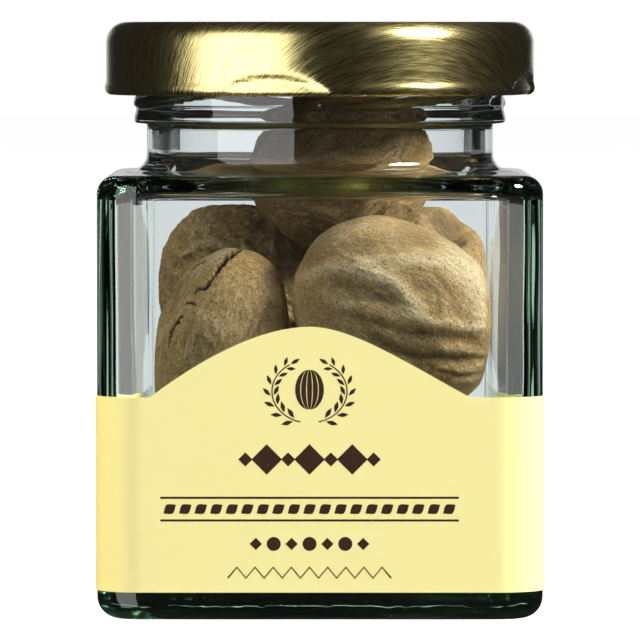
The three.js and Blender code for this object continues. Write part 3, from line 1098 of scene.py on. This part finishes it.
def drawn_relief(lines, place, normal):
    """Height in millimetres and crack share of the drawn lines at a place on a nut."""
    height, crack = 0.0, 0.0
    if normal.y > 0.1 or not lines:
        return height, crack
    x, z = place.x / MM, place.z / MM
    wobble = 0.22 * noise.noise(Vector((x * 0.7, z * 0.7, 3)))
    jag = 0.16 * noise.noise(Vector((x * 2.3, z * 2.3, 9)))
    for half_width, lift, points, box in lines:
        if not (box[0] < x < box[1] and box[2] < z < box[3]):
            continue
        shake = jag if lift <= -1 else wobble
        d, along = distance_to_line(x + shake, z - shake, points)
        taper = math.sqrt(math.sin(math.pi * min(0.97, max(0.03, along))))
        if lift > -1:
            height += lift * (0.3 + 0.7 * taper) * math.exp(-((d / half_width) ** 2))
        else:
            wide = half_width * (0.35 + 0.65 * taper)
            cut = 1 - smoothstep(d, wide * 0.5, wide * 1.3)
            height += 0.5 * lift * cut
            crack = max(crack, cut)
    return height, crack


def nut_relief(local, seed, furrowed):
    """Long furrows and lumps at a place in the nut's own axes, given in shares of its radii.

    The long axis is X. The height comes back in shares of the furrow's depth.
    """
    ring = Vector((0.0, local.y, local.z))
    ring = ring.normalized() if ring.length > 1e-6 else Vector((0, 1, 0))
    shift = Vector((seed, seed * 0.7, seed * 1.3))
    swerve = noise.noise(local * 1.7 + shift) * 0.55
    across = Vector((-ring.x, -ring.z, ring.y)) * swerve
    wide = (ring + across) * 2.3 + Vector((local.x * 0.8, 0, 0))
    narrow = (ring + across) * 5.6 + Vector((local.x * 1.5, 0, 0))
    ridge = 1 - abs(noise.noise(wide + shift)) * 3.2
    second = 1 - abs(noise.noise(narrow + shift * 2)) * 3.0
    lump = noise.noise(local * 2.4 + shift * 3)
    ends = smoothstep(1 - abs(local.x), 0.02, 0.35)
    return furrowed * ends * (0.6 * ridge + 0.4 * second - 0.2) + 0.45 * lump


def smooth_copy(node, levels):
    """A merged and subdivided copy of a frame node's mesh."""
    bm = bmesh.new()
    bm.from_mesh(node.data)
    bmesh.ops.remove_doubles(bm, verts=bm.verts, dist=1e-6)
    mesh = bpy.data.meshes.new("rough_nut")
    bm.to_mesh(mesh)
    bm.free()
    holder = bpy.data.objects.new("rough_nut", mesh)
    bpy.context.scene.collection.objects.link(holder)
    soften = holder.modifiers.new("Soften", "SUBSURF")
    soften.levels = soften.render_levels = levels
    depsgraph = bpy.context.evaluated_depsgraph_get()
    made = bpy.data.meshes.new_from_object(holder.evaluated_get(depsgraph))
    bpy.data.objects.remove(holder)
    return made


def build_nut(name, nuts, material):
    turn, seed, furrowed, roughness = NUTS[name]
    to_own = Euler([math.radians(a) for a in turn], "XYZ").to_matrix().transposed()
    levels = nuts.detail - 1 if "low" in name else nuts.detail
    mesh = smooth_copy(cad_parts[name], levels)
    low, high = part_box(name)
    middle = (low + high) / 2
    spread = [[v.co[i] for v in mesh.vertices] for i in range(3)]
    for i in range(3):
        grow = (high[i] - low[i]) / (max(spread[i]) - min(spread[i]))
        shift = (low[i] + high[i]) / 2 - grow * (min(spread[i]) + max(spread[i])) / 2
        for vert in mesh.vertices:
            vert.co[i] = grow * vert.co[i] + shift
    own = [to_own @ (v.co - middle) for v in mesh.vertices]
    size = Vector([max(abs(p[i]) for p in own) for i in range(3)])
    lines = boxed_lines(name)
    shift = Vector((seed, 0, 0))
    normals = [v.normal.copy() for v in mesh.vertices]
    relief, cracks, places = [], [], []
    for vert, normal, p in zip(mesh.vertices, normals, own):
        local = Vector((p.x / size.x, p.y / size.y, p.z / size.z))
        share = nut_relief(local, seed, furrowed)
        drawn, crack = drawn_relief(lines, vert.co, normal)
        rough = noise.fractal(vert.co * 800 + shift, 1.0, 2.1, 3)
        lift = nuts.furrow * (share - 0.3) + nuts.grain * roughness * rough + drawn * MM
        places.append(vert.co + normal * lift)
        # The tone rises with height, so ridges, drawn ridges and raised lumps come out paler and
        # furrows darker: partly the seed's own colour, partly painted highlight and shade.
        tone = 0.42 + 0.34 * share + 1.5 * (0.0 if crack else drawn) + 0.10 * roughness * rough
        relief.append(min(1.0, max(0.0, tone)))
        cracks.append(crack)
    for vert, place in zip(mesh.vertices, places):
        vert.co = place
    layer = mesh.attributes.new("own", "FLOAT_VECTOR", "POINT")
    layer.data.foreach_set("vector", [value for p in own for value in p])
    for key, values in (("relief", relief), ("crack", cracks)):
        layer = mesh.attributes.new(key, "FLOAT", "POINT")
        layer.data.foreach_set("value", values)
    for face in mesh.polygons:
        face.use_smooth = True
    mesh.name = "whole_" + name
    piece = bpy.data.objects.new("whole_" + name, mesh)
    bpy.context.scene.collection.objects.link(piece)
    mesh.materials.clear()
    mesh.materials.append(material)
    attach(piece, "root")
    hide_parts(name)


def build_nuts(context):
    nuts = context.scene.nutmeg_jar.nuts
    material = nut_finish(nuts)
    for name in NUT_NAMES:
        build_nut(name, nuts, material)


# ------------------------------------------------------------------ studio


def stage_piece(bm, name, material):
    """Puts a bmesh in the scene as part of the studio."""
    mesh = bpy.data.meshes.new(name)
    bm.to_mesh(mesh)
    bm.free()
    mesh.materials.append(material)
    made = bpy.data.objects.new(name, mesh)
    bpy.context.scene.collection.objects.link(made)
    return made


def only_through_glass(card):
    """Hides a card from everything but light that comes through the glass."""
    card.visible_camera = card.visible_diffuse = False
    card.visible_glossy = card.visible_shadow = False


def add_tunnel(camera, studio, material):
    """Black cards behind the jar, on all four sides of the white that the camera sees.

    They keep to the camera's own axes, so that the glass gets dark edges from every side.
    """
    near, far = studio.tunnel_near, studio.tunnel_far
    low, rise = studio.tunnel_low, studio.tunnel_far_rise
    start, end = 0.05 - studio.distance, -studio.distance - studio.tunnel_length
    bm = bmesh.new()
    for side, top, bottom, depth in ((near, near, low, start), (far, rise, low, end)):
        made = bmesh.ops.create_grid(bm, x_segments=1, y_segments=1, size=1)["verts"]
        for vert in made:
            height = top if vert.co.y > 0 else bottom
            vert.co = (vert.co.x * side, vert.co.y * height, depth)
    bmesh.ops.bridge_loops(bm, edges=[e for e in bm.edges if e.is_boundary])
    bmesh.ops.delete(bm, geom=[f for f in bm.faces if abs(f.normal.z) > 0.9], context="FACES_ONLY")
    tunnel = stage_piece(bm, "black_cards", material)
    only_through_glass(tunnel)
    tunnel.parent = camera


def add_shell(camera, studio, material):
    """A dim half shell that only light inside the glass meets, on the camera's side of the jar."""
    bm = bmesh.new()
    bmesh.ops.create_uvsphere(bm, u_segments=32, v_segments=16, radius=studio.shell)
    bmesh.ops.bisect_plane(
        bm,
        geom=list(bm.verts) + list(bm.edges) + list(bm.faces),
        plane_co=(0, 0, 0),
        plane_no=(0, 0, 1),
        clear_inner=True,
    )
    bmesh.ops.translate(bm, verts=bm.verts, vec=(0, 0, -studio.distance))
    shell = stage_piece(bm, "dim_shell", material)
    only_through_glass(shell)
    shell.parent = camera


def add_base_ring(material):
    """A dark ring fixed round the jar's base that only light through the glass meets."""
    low, high, radius = -2 * MM, 6 * MM, 40 * MM
    bm = bmesh.new()
    sizes = {"radius1": radius, "radius2": radius, "depth": high - low}
    made = bmesh.ops.create_cone(bm, cap_ends=False, segments=64, **sizes)["verts"]
    bmesh.ops.translate(bm, verts=made, vec=(0, 0, (low + high) / 2))
    ring = stage_piece(bm, "base_ring", material)
    only_through_glass(ring)


def add_backdrop(camera, studio, material):
    """A white card far behind the jar that shows only in reflections at grazing angles."""
    top, bottom, near = 0.2, -0.03, 0.01 - studio.distance
    bm = bmesh.new()
    made = bmesh.ops.create_grid(bm, x_segments=1, y_segments=1, size=1)["verts"]
    for vert in made:
        height = top if vert.co.y > 0 else bottom
        vert.co = (vert.co.x * studio.tunnel_far, height, near - studio.tunnel_length)
    backdrop = stage_piece(bm, "gloss_backdrop", material)
    backdrop.visible_camera = backdrop.visible_diffuse = False
    backdrop.visible_transmission = backdrop.visible_shadow = False
    backdrop.parent = camera


def add_softbox(camera, name, studio, side, rise, wide, tall, radiance, seen):
    """A softbox that looks at the jar, placed by its angles from the camera's direction."""
    reach = studio.light_distance
    aim = Vector((0, 0, -studio.distance))
    flat = math.cos(rise)
    way = Vector((math.sin(side) * flat, math.sin(rise), math.cos(side) * flat))
    data = bpy.data.lights.new(name, "AREA")
    data.shape = "RECTANGLE"
    data.size = 2 * reach * math.tan(wide / 2)
    data.size_y = 2 * reach * math.tan(tall / 2)
    data.energy = radiance * math.pi * data.size * data.size_y
    light = bpy.data.objects.new(name, data)
    bpy.context.scene.collection.objects.link(light)
    light.location = aim + way * reach
    right = Vector((0, 1, 0)).cross(way).normalized()
    turned = Matrix((right, way.cross(right), way)).transposed()
    light.rotation_euler = turned.to_euler()
    light.visible_camera = False
    light.visible_diffuse = "diffuse" in seen
    light.visible_glossy = "gloss" in seen
    light.visible_transmission = "glass" in seen
    light.parent = camera


def set_sky(scene):
    """White to the camera and through glass, dim for shading and dark for gloss."""
    world = bpy.data.worlds.new("PaleStudio")
    scene.world = world
    f = Finish(world)

    def sky_of(colour, strength):
        inputs = {"Color": (*colour, 1.0), "Strength": strength}
        return f.node("ShaderNodeBackground", None, inputs)

    straight = f.light_path("Is Camera Ray")
    through = f.light_path("Is Transmission Ray")
    shaded = f.light_path("Diffuse Depth").step(0.0, 1.0)
    clear = sky_of((1, 1, 1), 1.05)
    paned = sky_of((0.92, 0.96, 1), 0.88)
    soft = sky_of((1, 0.99, 0.97), 0.04)
    dark = sky_of((1, 1, 1), 0.02)
    sky = f.node("ShaderNodeMixShader", None, {0: through, 1: dark, 2: paned})
    sky = f.node("ShaderNodeMixShader", None, {0: shaded, 1: sky, 2: soft})
    sky = f.node("ShaderNodeMixShader", None, {0: straight, 1: sky, 2: clear})
    out = f.tree.nodes.new("ShaderNodeOutputWorld")
    f.tree.links.new(sky.socket, out.inputs["Surface"])


def build_studio(context):
    scene = context.scene
    studio = scene.nutmeg_jar.studio

    bm = bmesh.new()
    bmesh.ops.create_circle(bm, cap_ends=True, segments=96, radius=4.5)
    floor = stage_piece(bm, "studio_floor", floor_finish())
    floor.visible_glossy = False
    floor.visible_transmission = False
    set_sky(scene)

    camera_data = bpy.data.cameras.new("StudioCamera")
    camera_data.lens = 36 * studio.distance / studio.span
    camera_data.clip_end = 20
    camera = bpy.data.objects.new("StudioCamera", camera_data)
    scene.collection.objects.link(camera)
    back = Vector((0, -math.cos(studio.elevation), math.sin(studio.elevation)))
    camera.location = Vector((0, 0, studio.aim)) + back * studio.distance
    camera.rotation_euler = (-back).to_track_quat("-Z", "Y").to_euler()
    scene.camera = camera

    add_tunnel(camera, studio, card_finish("BlackCard", 0.018, 0.16))
    add_shell(camera, studio, card_finish("DimShell", 0.11))
    add_base_ring(card_finish("BaseRing", 0.018))
    add_backdrop(camera, studio, card_finish("PaleBackdrop", 0.9))
    for name, side, rise, wide, tall, radiance, seen in (
        ("left_softbox", -72, 42, 40, 36, 8.0, ("diffuse",)),
        ("front_fill", -12, 12, 50, 40, 0.7, ("diffuse",)),
        ("right_key", 76, 28, 15, 15, 87.0, ("diffuse",)),
        ("left_gloss_card", -44, 0, 54, 98, 2.9, ("gloss",)),
        ("right_lamp", 69, 45, 15, 15, 85.0, ("gloss", "glass")),
    ):
        angles = [math.radians(a) for a in (side, rise, wide, tall)]
        add_softbox(camera, name, studio, *angles, radiance, seen)

    scene.view_settings.view_transform = "Standard"
    scene.cycles.max_bounces = 24
    scene.cycles.transmission_bounces = 24
    scene.cycles.glossy_bounces = 10
    scene.cycles.diffuse_bounces = 4
    scene.cycles.transparent_max_bounces = 24


# ------------------------------------------------------------------ operators and panel


class PieceOperator:
    """What the jar's operators share."""

    bl_options = {"REGISTER", "UNDO"}

    def execute(self, context):
        self.build(context)
        return {"FINISHED"}


class NUTJAR_OT_glass(PieceOperator, bpy.types.Operator):
    """Models the square glass jar with its bead and thread ridges"""

    bl_idname = "nutjar.glass"
    bl_label = "Glass Jar"

    def build(self, context):
        build_glass(context)


class NUTJAR_OT_lid(PieceOperator, bpy.types.Operator):
    """Spins the gold twist-off lid and presses in its lugs"""

    bl_idname = "nutjar.lid"
    bl_label = "Twist-off Lid"

    def build(self, context):
        build_lid(context)


class NUTJAR_OT_label(PieceOperator, bpy.types.Operator):
    """Wraps the wave-topped paper label round the jar and prints it"""

    bl_idname = "nutjar.label"
    bl_label = "Paper Label"

    def build(self, context):
        build_label(context)
        build_print(context)


class NUTJAR_OT_nuts(PieceOperator, bpy.types.Operator):
    """Models each whole nutmeg with its furrows, specks and cracks"""

    bl_idname = "nutjar.nuts"
    bl_label = "Nutmegs"

    def build(self, context):
        build_nuts(context)


class NUTJAR_OT_studio(PieceOperator, bpy.types.Operator):
    """Sets up the pale floor, the soft light and the camera"""

    bl_idname = "nutjar.studio"
    bl_label = "Studio"

    def build(self, context):
        build_studio(context)


OPERATORS = (
    NUTJAR_OT_studio,
    NUTJAR_OT_glass,
    NUTJAR_OT_lid,
    NUTJAR_OT_label,
    NUTJAR_OT_nuts,
)


class NUTJAR_PT_panel(bpy.types.Panel):
    """Lists the jar's pieces in the sidebar"""

    bl_label = "Nutmeg Jar"
    bl_idname = "NUTJAR_PT_panel"
    bl_space_type = "VIEW_3D"
    bl_region_type = "UI"
    bl_category = "Nutmeg Jar"

    def draw(self, context):
        for operator in OPERATORS:
            self.layout.operator(operator.bl_idname)


SETTINGS = (
    GlassSettings,
    LidSettings,
    LabelSettings,
    NutSettings,
    StudioSettings,
    JarSettings,
)


def register():
    for cls in (*SETTINGS, *OPERATORS, NUTJAR_PT_panel):
        bpy.utils.register_class(cls)
    bpy.types.Scene.nutmeg_jar = PointerProperty(type=JarSettings)


def unregister():
    del bpy.types.Scene.nutmeg_jar
    for cls in reversed((*SETTINGS, *OPERATORS, NUTJAR_PT_panel)):
        bpy.utils.unregister_class(cls)


def main():
    register()
    bpy.ops.nutjar.studio()
    bpy.ops.nutjar.glass()
    bpy.ops.nutjar.lid()
    bpy.ops.nutjar.label()
    bpy.ops.nutjar.nuts()


if __name__ == "__main__":
    main()
